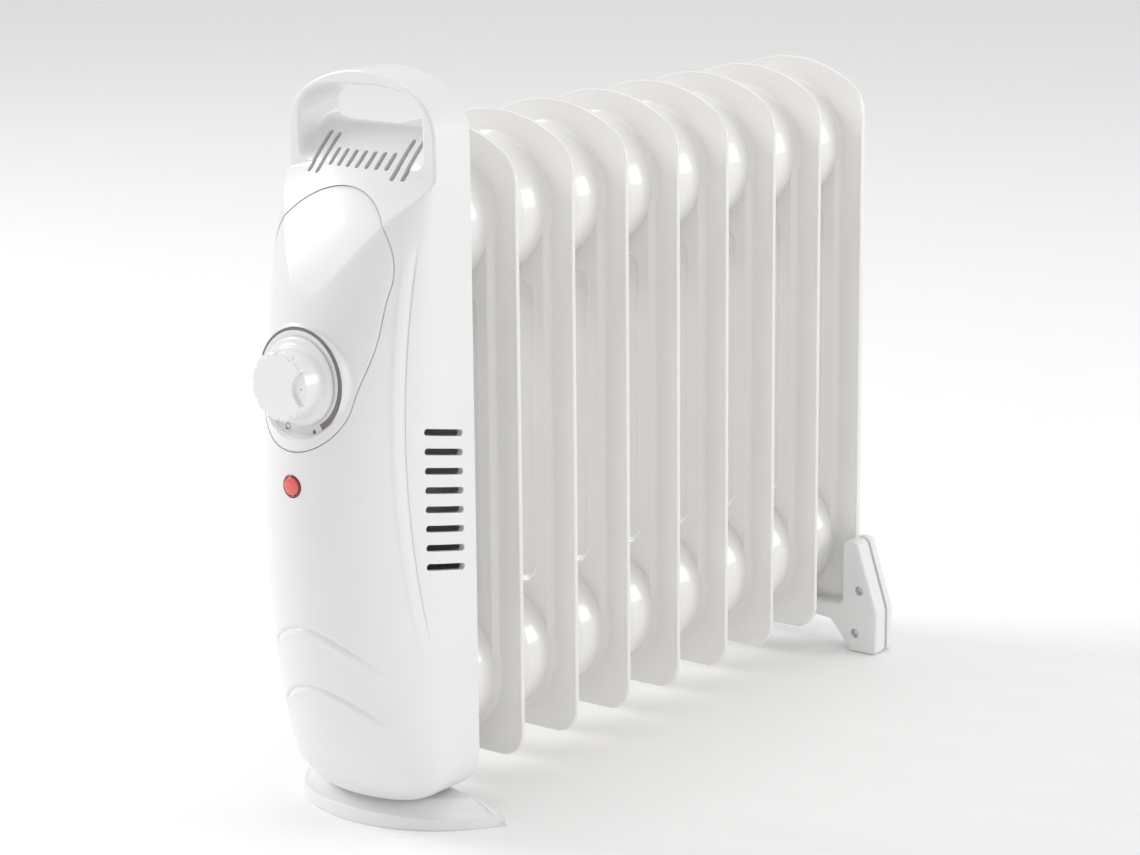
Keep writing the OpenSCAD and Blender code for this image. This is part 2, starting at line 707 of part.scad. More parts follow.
module rear_foot_back() {
    color("white") difference() {
        union() {
            along_y(last_y + grip, last_y + leg_back_t) rear_foot_2d();
            // web that closes the leg outside the fin's edge
            along_y(last_y - grip + 0.1, last_y + grip + eps) intersection() {
                rear_foot_2d();
                for (s = [-1, 1]) translate([s * (fin_w / 2 + 19.4) - 15, 0]) square([30, rear_leg_h]);
            }
        }
        for (p = leg_holes) rod_y(p.x, p.y, screw_r, last_y - 3, last_y + leg_back_t - 2);
    }
}
module rear_foot_screws() {
    color("silver") for (p = leg_holes)
        screw_y(p.x, p.y, last_y - leg_front_t + 4, leg_front_t + leg_back_t - 6.2, 1);
}

fin(0);  // fin_1
fin(1);  // fin_2
fin(2);  // fin_3
fin(3);  // fin_4
fin(4);  // fin_5
fin(5);  // fin_6
fin(6);  // fin_7
fin(7);  // fin_8
rear_header_caps();
upper_header_plate();
lower_header_plate();
filler_plug();
element_flange();
element_gasket();
heating_element();
terminal_insulators();
thermal_cutout();
cutout_strap();
mounting_bracket();
bracket_screws();
front_cover();
rear_cover();
cover_screws();
dial_plate();
knob();
thermostat_spindle();
thermostat_body();
thermostat_bush();
thermostat_nut();
bimetal_strip();
lamp_lens();
lamp_holder();
tip_switch_frame();
tip_pendulum();
tip_pin();
tip_microswitch();
terminal_block();
terminal_screws();
live_wire();
neutral_wire();
earth_wire();
cord_gland();
front_foot();
front_foot_screws();
rear_foot_front();
rear_foot_back();
rear_foot_screws();
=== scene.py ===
"""Detailed surfaces of a small oil filled radiator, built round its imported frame."""

import json
import math

import bmesh
import bpy
import numpy as np
from mathutils import Matrix, Vector


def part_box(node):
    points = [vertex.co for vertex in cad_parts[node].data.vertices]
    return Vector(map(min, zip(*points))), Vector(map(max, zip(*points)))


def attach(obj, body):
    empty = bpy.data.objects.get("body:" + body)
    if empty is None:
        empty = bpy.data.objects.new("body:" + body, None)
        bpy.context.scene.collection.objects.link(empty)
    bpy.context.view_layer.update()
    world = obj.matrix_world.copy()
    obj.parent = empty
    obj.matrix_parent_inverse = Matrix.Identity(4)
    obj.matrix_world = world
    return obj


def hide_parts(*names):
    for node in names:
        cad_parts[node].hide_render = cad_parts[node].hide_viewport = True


bl_info = {
    "name": "Oil Radiator",
    "version": (1, 0, 0),
    "blender": (4, 5, 0),
    "location": "View3D > Sidebar > Radiator",
    "description": "Builds the fins, housing, dial and feet of a small oil filled radiator",
    "category": "Object",
}

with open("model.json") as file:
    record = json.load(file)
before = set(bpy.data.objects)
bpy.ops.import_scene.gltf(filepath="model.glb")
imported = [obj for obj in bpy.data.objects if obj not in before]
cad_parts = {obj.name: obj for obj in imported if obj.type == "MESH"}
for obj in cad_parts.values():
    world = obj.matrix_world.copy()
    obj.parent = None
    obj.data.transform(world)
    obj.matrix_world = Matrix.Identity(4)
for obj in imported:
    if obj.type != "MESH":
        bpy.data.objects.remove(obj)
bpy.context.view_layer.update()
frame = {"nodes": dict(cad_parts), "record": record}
MM = 0.001


def span(node):
    """Lowest and highest corner of a node, in millimetres."""
    lo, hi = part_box(node)
    return np.array(lo) / MM, np.array(hi) / MM


# places read from the frame, in millimetres
SECOND_LO, SECOND_HI = span("fin_2")
THIRD_LO, THIRD_HI = span("fin_3")
PITCH = (THIRD_LO + THIRD_HI - SECOND_LO - SECOND_HI)[1] / 2
FIRST_Y = (SECOND_LO[1] + SECOND_HI[1]) / 2 - PITCH
FIN_COUNT = sum(1 for name in frame["nodes"] if name.startswith("fin_"))
FIN_HALF = SECOND_HI[0]
FIN_BOTTOM, FIN_TOP = SECOND_LO[2], SECOND_HI[2]
COVER_LO, COVER_HI = span("front_cover")
COVER_BACK = FIRST_Y - COVER_HI[1]
COVER_HALF = COVER_HI[0]
COVER_BOTTOM, COVER_TOP = COVER_LO[2], COVER_HI[2]
LAST_BACK = span("fin_8")[1][1]
LAST_Y = FIRST_Y + (FIN_COUNT - 1) * PITCH
STUB_FRONT = span("fin_1")[0][1]
KNOB_LO, KNOB_HI = span("knob")
KNOB_Z = (KNOB_LO[2] + KNOB_HI[2]) / 2
KNOB_BACK = KNOB_HI[1]
KNOB_BASE = FIRST_Y - KNOB_BACK
KNOB_FACE = FIRST_Y - KNOB_LO[1]
SPINDLE_LO, SPINDLE_HI = span("thermostat_spindle")
SPINDLE_R = (SPINDLE_HI[0] - SPINDLE_LO[0]) / 2
LENS_LO, LENS_HI = span("lamp_lens")
LAMP_Z = (LENS_LO[2] + LENS_HI[2]) / 2
LOW_HEADER = FIN_BOTTOM + 40.5
HIGH_HEADER = FIN_TOP - 45.0

# fixed shapes, in millimetres
FIN_BOTTOM_R, FIN_TOP_R, FIN_CROWN_R = 12.5, 20, 68
PANEL_CORNER = 8.0
COVER_BOTTOM_R, COVER_TOP_R, COVER_CROWN_R = 20, 24, 62
BOW_UP, BOW_DOWN = 138.5, 151       # half heights of the bow above and below its middle
BOW_CREST, BOW_TIP, BOW_FADE = 122, 25, 45
BOW_FOOT = 12                       # least depth of the bow at the bottom
SLOPE_BACK, SLOPE_DROP = 61, 165.3  # the slope's axis, behind the first fin and below the top
CROWN_FALL, CROWN_AT = 2.5, 27      # how far the slope has fallen this far from the middle
OPENING_DROP = 26                   # the finger opening's sill, below the top
COVER_EDGE = 1.6
SEAT_R = 24.6
LAMP_HOLE_R = 5.3
PRINT_INNER, PRINT_THIN, PRINT_OUTER = 21.3, 2.0, 24.2
FOOT_R, FOOT_BACK = 67.8, 3.2       # the front foot's arc and its centre before the first fin
FOOT_MIDDLE = 42
BARREL_SADDLE = 36.2
NOTCHES = 12
POINTER_DOT_X = 12.4


# ---------------------------------------------------------------- sizes and colours
def length(name, description, default):
    """A size whose default is given in millimetres."""
    return bpy.props.FloatProperty(
        name=name, description=description, default=default * MM,
        subtype="DISTANCE", unit="LENGTH", precision=4,
    )


def colour(name, description, default):
    """A linear colour."""
    return bpy.props.FloatVectorProperty(
        name=name, description=description, default=default, subtype="COLOR", size=3, min=0, max=1
    )


class RadiatorFinSizes(bpy.types.PropertyGroup):
    """Sizes of the pressed fins"""

    barrel: length("Barrel radius", "Radius of the header barrels between the fins", 32.5)
    channel: length("Channel half width", "Half width of the raised oil channel", 32.1)
    panel: length("Panel half width", "Half width of the pinched panel", 24.4)
    rise: length("Channel rise", "Height of the channel above the flat margin", 3.4)
    pinch: length("Pinch depth", "How far the panel is pressed back", 2.4)
    fillet: length("Barrel fillet", "Blend between a barrel and its fin", 3.6)


class RadiatorHousingSizes(bpy.types.PropertyGroup):
    """Sizes of the moulded front cover"""

    band: length("Band depth", "Depth of the flat side band", 24.5)
    bow: length("Bow depth", "How far the front bows out of the band", 51.8)
    slope: length("Slope radius", "Radius of the sloping vented top", 170)
    wall: length("Wall", "Wall of the moulded cover", 3)
    slot: length("Slot width", "Width of a top vent slot", 2.4)


class RadiatorDialSizes(bpy.types.PropertyGroup):
    """Sizes of the dial plate and the knob"""

    plate_low: length("Plate lower radius", "Radius of the dial plate round the knob", 26.3)
    plate_high: length("Plate upper radius", "Radius of the dial plate's wide end", 35.3)
    face: length("Knob face radius", "Radius of the knob's face", 15.5)
    skirt: length("Knob skirt radius", "Radius of the knob's foot", 20)
    scoop: length("Scoop depth", "Depth of the pointer scoop", 1.5)


class RadiatorFinishColours(bpy.types.PropertyGroup):
    """Colours of the finishes"""

    enamel: colour("Enamel", "Baked enamel on the fins", (0.86, 0.85, 0.83))
    plastic: colour("White plastic", "Moulded housing and feet", (0.82, 0.825, 0.82))
    print_grey: colour("Print", "Printed dial scale", (0.19, 0.165, 0.15))
    lens: colour("Lens", "Power lamp lens", (0.78, 0.13, 0.1))
    floor: colour("Floor", "Studio floor", (0.97, 0.97, 0.97))


# ---------------------------------------------------------------- shapes
def ease(low, high, value):
    """0 below low, 1 above high and smooth between."""
    t = np.clip((value - low) / (high - low), 0, 1)
    return t * t * (3 - 2 * t)


def arc(cx, cz, r, start, end, count):
    """Points of an arc round (cx, cz), from start to end in degrees."""
    t = np.radians(np.linspace(start, end, count))
    return np.stack([cx + r * np.cos(t), cz + r * np.sin(t)], 1)


def crowned(half, z0, z1, bottom_r, corner_r, crown_r):
    """Closed outline with round bottom corners, tangent top corners and a crowned top edge."""
    cx = half - corner_r
    reach = crown_r - corner_r
    cz = z1 - crown_r + math.sqrt(reach * reach - cx * cx)
    tangent = math.degrees(math.atan2(cz - z1 + crown_r, cx))
    right = np.concatenate([
        [[0, z0]],
        arc(half - bottom_r, z0 + bottom_r, bottom_r, -90, 0, 40),
        arc(cx, cz, corner_r, 0, tangent, 60),
        arc(0, z1 - crown_r, crown_r, tangent, 90, 60),
    ])
    return np.concatenate([right, right[::-1][1:-1] * [-1, 1]])


def evenly(points, count, weight=None):
    """The closed outline with count points, closer together where weight is large."""
    closed = np.concatenate([points, points[:1]])
    run = np.concatenate([[0], np.cumsum(np.linalg.norm(np.diff(closed, axis=0), axis=1))])
    fine = np.linspace(0, run[-1], 12001)
    x, z = np.interp(fine, run, closed[:, 0]), np.interp(fine, run, closed[:, 1])
    density = np.ones_like(x) if weight is None else weight(x, z)
    total = np.concatenate([[0], np.cumsum((density[1:] + density[:-1]) / 2)])
    place = np.interp(np.linspace(0, total[-1], count, endpoint=False), total, fine)
    return np.stack([np.interp(place, run, closed[:, 0]), np.interp(place, run, closed[:, 1])], 1)


def piece(name, parts, angle=40):
    """A smooth shaded object from closed shells, each a stack of equal rings in millimetres."""
    partner_gap, merge, sliver = 0.01, 0.002, 0.001
    verts, faces, start = [], [], 0
    for rings in parts:
        rings = np.asarray(rings, float)
        count, n = rings.shape[:2]
        verts.append(rings.reshape(-1, 3))
        i = np.arange(n)
        j = (i + 1) % n
        for k in range(count - 1):
            faces.extend((np.stack([i, j, j + n, i + n], 1) + k * n + start).tolist())
        # an end ring that has shrunk onto the middle line closes itself when its points merge
        for ring, loop in ((rings[0], i[::-1] + start), (rings[-1], i + start + (count - 1) * n)):
            if np.abs(ring[1:] - ring[:0:-1]).max() > partner_gap:
                faces.append(loop.tolist())
        start += count * n
    mesh = bpy.data.meshes.new(name)
    mesh.from_pydata((np.concatenate(verts) * MM).tolist(), [], faces)
    solid = bmesh.new()
    solid.from_mesh(mesh)
    bmesh.ops.remove_doubles(solid, verts=solid.verts, dist=merge * MM)
    bmesh.ops.dissolve_degenerate(solid, edges=solid.edges, dist=sliver * MM)
    bmesh.ops.recalc_face_normals(solid, faces=solid.faces)
    solid.to_mesh(mesh)
    solid.free()
    shade(mesh, angle)
    obj = bpy.data.objects.new(name, mesh)
    bpy.context.scene.collection.objects.link(obj)
    return obj


def shade(mesh, angle):
    """Smooth shading with sharp edges where faces meet at more than angle degrees."""
    mesh.shade_smooth()
    mesh.set_sharp_from_angle(angle=math.radians(angle))


def cut(obj, tools, angle):
    """Takes closed tools away from obj."""
    for tool in tools:
        step = obj.modifiers.new("cut", "BOOLEAN")
        step.operation = "DIFFERENCE"
        step.solver = "MANIFOLD"
        step.object = tool
    graph = bpy.context.evaluated_depsgraph_get()
    made = bpy.data.meshes.new_from_object(obj.evaluated_get(graph))
    obj.modifiers.clear()
    obj.data = made
    if len(made.polygons) == 0:
        raise RuntimeError(f"{obj.name} was cut away to nothing")
    shade(made, angle)
    for tool in tools:
        bpy.data.objects.remove(tool)
    return obj


def lathe(profile, axis_x, axis_z, segments=128):
    """Rings from a profile of (radius, y) round an axis along Y."""
    t = np.linspace(0, 2 * math.pi, segments, endpoint=False)
    return [
        np.stack([axis_x + r * np.cos(t), np.full(segments, y), axis_z + r * np.sin(t)], 1)
        for r, y in profile
    ]


def inset(outline, distance):
    """The closed outline moved inwards along its own normals."""
    ahead = np.roll(outline, -1, 0) - np.roll(outline, 1, 0)
    ahead /= np.linalg.norm(ahead, axis=1)[:, None]
    return outline + np.stack([-ahead[:, 1], ahead[:, 0]], 1) * distance


def prism(outline, y0, y1, soft0, soft1):
    """Rings of a slab between y0 and y1 with rounded edges; the outline runs anticlockwise."""
    rings = []
    for side, base, soft in ((-1, y0, soft0), (1, y1, soft1)):
        stack = []
        for a in np.linspace(0, math.pi / 2, 6):
            flat = inset(outline, soft * (1 - math.sin(a)))
            y = base - side * soft * (1 - math.cos(a))
            stack.append(np.stack([flat[:, 0], np.full(len(flat), y), flat[:, 1]], 1))
        rings.extend(stack if side < 0 else stack[::-1])
    return rings


def place(obj, body, slot, *nodes):
    """Hands a finished piece to the frame."""
    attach(obj, body)
    if nodes:
        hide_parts(*nodes)


# ---------------------------------------------------------------- finishes
def finish(name, base, roughness, grain, bump, coat=0.0, metallic=0.0, spread=0.03):
    """A moulded or painted finish: faint cloudy colour, uneven gloss and a fine surface grain."""
    mat = bpy.data.materials.new(name)
    mat.use_nodes = True
    nodes, links = mat.node_tree.nodes, mat.node_tree.links
    shader = nodes["Principled BSDF"]
    shader.inputs["Metallic"].default_value = metallic
    shader.inputs["Coat Weight"].default_value = coat
    shader.inputs["Coat Roughness"].default_value = 0.08
    uneven = 0.18
    where = nodes.new("ShaderNodeTexCoord")
    cloud = nodes.new("ShaderNodeTexNoise")
    cloud.inputs["Scale"].default_value = 18
    cloud.inputs["Detail"].default_value = 3
    links.new(where.outputs["Object"], cloud.inputs["Vector"])
    tint = nodes.new("ShaderNodeMix")
    tint.data_type = "RGBA"
    tint.inputs["A"].default_value = (*[c * (1 - spread) for c in base], 1)
    tint.inputs["B"].default_value = (*[min(1, c * (1 + spread)) for c in base], 1)
    links.new(cloud.outputs["Fac"], tint.inputs["Factor"])
    links.new(tint.outputs["Result"], shader.inputs["Base Color"])
    gloss = nodes.new("ShaderNodeMapRange")
    gloss.inputs["To Min"].default_value = roughness * (1 - uneven)
    gloss.inputs["To Max"].default_value = roughness * (1 + uneven)
    links.new(cloud.outputs["Fac"], gloss.inputs["Value"])
    links.new(gloss.outputs["Result"], shader.inputs["Roughness"])
    texture = nodes.new("ShaderNodeTexNoise")
    texture.inputs["Scale"].default_value = grain
    texture.inputs["Detail"].default_value = 4
    links.new(where.outputs["Object"], texture.inputs["Vector"])
    relief = nodes.new("ShaderNodeBump")
    relief.inputs["Strength"].default_value = bump
    relief.inputs["Distance"].default_value = 0.0002
    links.new(texture.outputs["Fac"], relief.inputs["Height"])
    links.new(relief.outputs["Normal"], shader.inputs["Normal"])
    return mat


def calc(mat, operation, a, b=0.0):
    """A math node on sockets or numbers."""
    node = mat.node_tree.nodes.new("ShaderNodeMath")
    node.operation = operation
    for socket, value in zip(node.inputs, (a, b)):
        if isinstance(value, (int, float)):
            socket.default_value = value
        else:
            mat.node_tree.links.new(value, socket)
    return node.outputs[0]


def print_and_painted_shade(mat, overlay_colour, mask):
    """Lays a colour over a finish where mask is 1: printed ink, and on the lens rim a painted shade."""
    nodes, links = mat.node_tree.nodes, mat.node_tree.links
    shader = nodes["Principled BSDF"]
    under = shader.inputs["Base Color"].links[0].from_socket
    over = nodes.new("ShaderNodeMix")
    over.data_type = "RGBA"
    over.inputs["B"].default_value = (*overlay_colour, 1)
    links.new(mask, over.inputs["Factor"])
    links.new(under, over.inputs["A"])
    links.new(over.outputs["Result"], shader.inputs["Base Color"])


def axis_offset(mat, x, z):
    """Sockets with the distance in X and Z, in metres, from an axis along Y."""
    nodes, links = mat.node_tree.nodes, mat.node_tree.links
    where = nodes.new("ShaderNodeTexCoord")
    parts = nodes.new("ShaderNodeSeparateXYZ")
    links.new(where.outputs["Object"], parts.inputs["Vector"])
    dx = calc(mat, "SUBTRACT", parts.outputs["X"], x * MM)
    dz = calc(mat, "SUBTRACT", parts.outputs["Z"], z * MM)
    return dx, dz


def radius_of(mat, x, z):
    """Socket with the distance, in metres, from an axis along Y."""
    dx, dz = axis_offset(mat, x, z)
    square = calc(mat, "ADD", calc(mat, "MULTIPLY", dx, dx), calc(mat, "MULTIPLY", dz, dz))
    return calc(mat, "SQRT", square)


def spot(mat, x, z, outer, inner=0.0):
    """1 inside a printed dot or ring."""
    r = radius_of(mat, x, z)
    within = calc(mat, "LESS_THAN", r, outer * MM)
    beyond = calc(mat, "GREATER_THAN", r, inner * MM)
    return calc(mat, "MULTIPLY", within, beyond)


def dial_scale(mat, overlay_colour):
    """The arc of print round the knob, thin at the low end, and four marks under it."""
    dx, dz = axis_offset(mat, 0, KNOB_Z)
    r = radius_of(mat, 0, KNOB_Z)
    # the arc starts below the knob on the right and runs over its top to the left
    high_end, total = math.radians(60), math.radians(218)
    turn = calc(mat, "ARCTAN2", dz, dx)
    swept = calc(mat, "ADD", turn, high_end)
    share = calc(mat, "DIVIDE", swept, total)
    inner = calc(mat, "ADD", calc(mat, "MULTIPLY", share, PRINT_THIN * MM), PRINT_INNER * MM)
    beyond = calc(mat, "GREATER_THAN", r, inner)
    within = calc(mat, "LESS_THAN", r, PRINT_OUTER * MM)
    mask = calc(mat, "MULTIPLY", beyond, within)
    mask = calc(mat, "MULTIPLY", mask, calc(mat, "GREATER_THAN", swept, 0.0))
    mask = calc(mat, "MULTIPLY", mask, calc(mat, "LESS_THAN", swept, total))
    # each mark: place across and below the knob, radius, and radius of the hole in a ring
    marks = ((-18, 18, 0.7, 0), (-13, 19, 0.5, 0), (-8, 21.5, 1.5, 1.1), (7.4, 22.2, 1.0, 0))
    for x, down, outer, hole in marks:
        mask = calc(mat, "MAXIMUM", mask, spot(mat, x, KNOB_Z - down, outer, hole))
    print_and_painted_shade(mat, overlay_colour, mask)


# ---------------------------------------------------------------- fins
def fin_rings(sizes, thick):
    """The pressed sheet of a fin, from its front middle round the rolled edge to its back middle."""
    barrel, channel, panel = sizes.barrel / MM, sizes.channel / MM, sizes.panel / MM
    rise, pinch = sizes.rise / MM, sizes.pinch / MM
    panel_low, panel_high = LOW_HEADER + barrel + 1, HIGH_HEADER - barrel - 1

    def dense(x, z):
        """More points where the panel's corners are."""
        low_end = np.exp(-(((z - panel_low - 4) / 7) ** 2))
        high_end = np.exp(-(((z - panel_high + 4) / 7) ** 2))
        return 1 + 4 * (low_end + high_end)

    outline = crowned(FIN_HALF, FIN_BOTTOM, FIN_TOP, FIN_BOTTOM_R, FIN_TOP_R, FIN_CROWN_R)
    edge = evenly(outline, 520, dense)
    spine = np.stack([np.zeros(len(edge)), np.clip(edge[:, 1], LOW_HEADER, HIGH_HEADER)], 1)

    def height(x, z):
        """Height of the channel, less the panel pressed into it."""
        beyond = np.maximum(0, np.maximum(LOW_HEADER - z, z - HIGH_HEADER))
        off = np.hypot(x, beyond)
        up = 1 - ease(channel - 1.2, channel + 1.4, off)
        mid, half = (panel_low + panel_high) / 2, (panel_high - panel_low) / 2
        qx = np.abs(x) - panel + PANEL_CORNER
        qz = np.abs(z - mid) - half + PANEL_CORNER
        round_part = np.hypot(np.maximum(qx, 0), np.maximum(qz, 0))
        inside = round_part + np.minimum(np.maximum(qx, qz), 0) - PANEL_CORNER
        return rise * up - pinch * (1 - ease(-1.2, 0.5, inside))

    # distances from the edge, closer together at the channel's side and the panel's side
    depths = np.concatenate([
        [0.0, 0.5, 1.2, 2.2, 5, 9, 12], np.arange(12.4, 15.7, 0.4),
        [17, 19, 20.6], np.arange(21.0, 24.6, 0.4), [26, 30, 36, 41, FIN_HALF],
    ])
    front = []
    for depth in depths[::-1]:
        f = depth / FIN_HALF
        flat = edge + (spine - edge) * f
        bead = 0.0 if depth > 2 else thick * 0.35 * (1 - depth / 2.2)
        y = -(thick + height(flat[:, 0], flat[:, 1]) + bead)
        if depth == 0:
            y = np.full(len(edge), -thick * 0.6)
        front.append(np.stack([flat[:, 0], y, flat[:, 1]], 1))
    back = [ring * [1, -1, 1] for ring in front[::-1]]
    return front + back


def barrel_rings(radius, fillet, y_sheet, y_end, z):
    """One barrel from a fin's sheet to the weld half way to the next fin."""
    way = 1 if y_end > y_sheet else -1
    curve = [
        (radius + fillet * (1 - math.sin(a)), y_sheet + way * fillet * (1 - math.cos(a)))
        for a in np.linspace(0.05, math.pi / 2, 9)
    ]
    weld = [(radius, y_end - way * 1.5), (radius - 0.35, y_end - way * 0.7), (radius - 0.5, y_end)]
    start = [(radius + fillet, y_sheet - way * 0.4)]
    return lathe(start + curve + weld, 0, z)


class RADIATOR_OT_fins(bpy.types.Operator):
    """Presses the steel fins and their header barrels"""

    bl_idname = "radiator.fins"
    bl_label = "Fins"

    def execute(self, context):
        sizes = context.scene.radiator_fins
        colours = context.scene.radiator_colours
        enamel = finish("baked_enamel", colours.enamel, 0.2, 260, 0.05, coat=0.35)
        radius, fillet = sizes.barrel / MM, sizes.fillet / MM
        sheet_face, rolled, last_rolled = 0.8, 1.0, 1.5
        for i in range(FIN_COUNT):
            y = FIRST_Y + i * PITCH
            last = i == FIN_COUNT - 1
            sheet = np.array(fin_rings(sizes, last_rolled if last else rolled)) + [0, y, 0]
            front = STUB_FRONT if i == 0 else y - PITCH / 2
            back = LAST_BACK if last else y + PITCH / 2
            parts = [sheet]
            for z in (LOW_HEADER, HIGH_HEADER):
                parts.append(barrel_rings(radius, fillet, y - sheet_face, front, z))
                parts.append(barrel_rings(radius, fillet, y + sheet_face, back, z))
            obj = piece(f"pressed_fin_{i + 1}", parts, 50)
            obj.data.materials.append(enamel)
            place(obj, "root", "fin_enamel", f"fin_{i + 1}")
        return {"FINISHED"}


# ---------------------------------------------------------------- housing
def bow(sizes, x, z, drop):
    """Depth of the bowed front before the side band, drop mm inside the outer surface."""
    half = COVER_HALF - drop
    middle = COVER_BOTTOM + BOW_DOWN
    up = (z - middle) / BOW_UP
    down = (middle - z) / BOW_DOWN
    deep = sizes.bow / MM
    upper = deep * np.sqrt(np.maximum(0, 1 - up * up))
    crest = middle + BOW_CREST
    tip = BOW_TIP * np.maximum(0, 1 - (z - crest) / BOW_FADE) ** 1.1
    upper = np.where(z > crest, tip, upper)
    lower = deep * np.sqrt(np.maximum(0, 1 - down * down))
    lower = (lower**3 + BOW_FOOT**3) ** (1 / 3)
    depth = np.maximum(0, np.where(z > middle, upper, lower) - drop)
    corner = COVER_BOTTOM_R
    foot = np.clip(corner - (z - COVER_BOTTOM), 0, corner)
    wide = half - (corner - np.sqrt(corner**2 - foot * foot))
    return depth * np.sqrt(np.maximum(0, 1 - (x / wide) ** 2))


def slope_depth(sizes, x, z, drop):
    """Depth of the sloping vented top, before the first fin."""
    r = sizes.slope / MM - drop
    lifted = z + CROWN_FALL * (x / CROWN_AT) ** 2 - (COVER_TOP - SLOPE_DROP)
    return -SLOPE_BACK + np.sqrt(np.maximum(0, r * r - np.maximum(0, lifted) ** 2))


def front_depth(sizes, x, z, drop=0.0):
    """Depth of the housing's front surface before the first fin."""
    band = COVER_BACK + sizes.band / MM
    bowed = band + bow(sizes, x, z, drop)
    sloped = slope_depth(sizes, x, z, drop)
    blend = 0.35
    gap = np.clip(0.5 + 0.5 * (sloped - bowed) / blend, 0, 1)
    low = sloped * (1 - gap) + bowed * gap - blend * gap * (1 - gap)
    return np.maximum(low, band) if drop == 0 else low


def line_and_ridge(off, line, line_width, ridge, ridge_off, ridge_width):
    """A pressed line at off = 0 with a soft raised ridge beside it."""
    pressed = line * np.exp(-((off / line_width) ** 2))
    return pressed - ridge * np.exp(-(((off - ridge_off) / ridge_width) ** 2))


def relief(x, z, depth):
    """Character lines of the housing: how far the surface is pressed in, in mm."""
    up = z - FIN_BOTTOM
    line = 75.4 - 13.5 * ((up - 165) / 102) ** 2
    off = depth - line
    fade = ease(60, 85, up) * (1 - ease(238, 262, up)) * (np.abs(x) > 30)
    pressed = fade * line_and_ridge(off, 1.5, 0.8, 1.3, 3.2, 2.2)
    for middle, curve in ((81, 0.0205), (52, 0.019)):
        off = (up - middle + curve * x * x) / np.sqrt(1 + (2 * curve * x) ** 2)
        fade = 1 - ease(24, 36, np.abs(x))
        pressed = pressed + fade * line_and_ridge(off, 0.9, 0.8, 0.5, -2.4, 1.6)
    return pressed


def housing_rings(sizes, around, across, drop, back, soft):
    """Rings of the housing's solid from the back, round the side and in over the bowed front."""
    outline = crowned(
        COVER_HALF - drop, COVER_BOTTOM + drop, COVER_TOP - drop,
        COVER_BOTTOM_R - drop, COVER_TOP_R - drop, COVER_CROWN_R - drop,
    )
    edge = evenly(outline, around)
    reach = COVER_HALF - drop
    spine_z = np.clip(edge[:, 1], COVER_BOTTOM + drop + reach, COVER_TOP - drop - reach)
    spine = np.stack([np.zeros(around), spine_z], 1)
    rings = []
    start = np.full(around, FIRST_Y - back)
    wall_end = FIRST_Y - front_depth(sizes, edge[:, 0], edge[:, 1], drop)
    for t in np.linspace(0, 1, 14):
        rings.append(np.stack([edge[:, 0], start + (wall_end + soft - start) * t, edge[:, 1]], 1))
    if soft:
        for t in np.linspace(0.25, 1, 4):
            narrower = edge[:, 0] * (1 - 0.012 * t)
            shorter = edge[:, 1] - 0.6 * t * np.sign(edge[:, 1] - 160)
            rings.insert(0, np.stack([narrower, start, shorter], 1))
    for a in np.linspace(0, math.pi / 2, across)[1:]:
        flat = spine + (edge - spine) * math.cos(a)
        x, z = flat[:, 0], flat[:, 1]
        depth = front_depth(sizes, x, z, drop)
        if drop == 0:
            depth = depth - relief(x, z, depth)
        short = np.linalg.norm(edge - flat, axis=1)
        if soft:
            left = np.maximum(0, soft - short)
            depth = depth - (soft - np.sqrt(np.maximum(0, soft**2 - left**2)))
        rings.append(np.stack([x, FIRST_Y - depth, z], 1))
    return rings


def opening_tool(sizes):
    """The finger opening: flared at both faces, with the sloping top as its floor."""
    band = COVER_BACK + sizes.band / MM
    n = 160
    edge = 1.5
    rings = []
    depths = np.concatenate([
        np.linspace(band + 16, band, 10), np.linspace(band - 0.3, band - 3, 8),
        np.linspace(band - 4, COVER_BACK + 2.5, 12), np.linspace(COVER_BACK + 2, COVER_BACK - 1, 9),
    ])
    for depth in depths:
        t = np.clip((band - depth) / (band - COVER_BACK), 0, 1)
        flare = edge * max(0, 1 - max(0, band - depth) / edge) ** 2
        flare += edge * max(0, 1 - max(0, depth - COVER_BACK) / edge) ** 2
        half = 35.5 - 3.5 * t + flare
        top = COVER_TOP - 6.6 - 3.6 * t + flare * 0.7
        reach = math.sqrt(max(0, (sizes.slope / MM) ** 2 - (depth + SLOPE_BACK) ** 2))
        slope = COVER_TOP - SLOPE_DROP + reach
        floor = min(slope, COVER_TOP - OPENING_DROP - 0.4 * t)
        if depth > band:
            floor += 0.05 + 0.3 * (depth - band)
        a = np.linspace(0, 2 * math.pi, n, endpoint=False) + math.pi / n
        height, middle = (top - floor) / 2, (top + floor) / 2
        upper = np.sin(a) > 0
        x = half * np.sign(np.cos(a)) * np.abs(np.cos(a)) ** np.where(upper, 0.62, 0.34)
        z = middle + height * np.sign(np.sin(a)) * np.abs(np.sin(a)) ** np.where(upper, 0.8, 0.34)
        drooped = z - np.where(np.sin(a) < 0, CROWN_FALL * (x / CROWN_AT) ** 2 * (1 - t), 0)
        rings.append(np.stack([x, np.full(n, FIRST_Y - depth), drooped], 1))
    return piece("opening_tool", [rings])


def stadium(long, wide, count=12):
    """Closed outline of a slot with round ends, along its first axis."""
    r = wide / 2
    run = long / 2 - r
    return np.concatenate([arc(run, 0, r, -90, 90, count), arc(-run, 0, r, 90, 270, count)])


def slot_tool(centre, along, through, size, depth):
    """A slot cutter: along is its long direction, through the direction it is cut in."""
    along, through = Vector(along).normalized(), Vector(through).normalized()
    side = through.cross(along)
    flat = stadium(*size)
    rings = []
    for t in (-1, 1):
        base = Vector(centre) + through * (depth * t)
        rings.append([tuple(base + along * float(u) + side * float(v)) for u, v in flat])
    return piece("slot_tool", [rings])


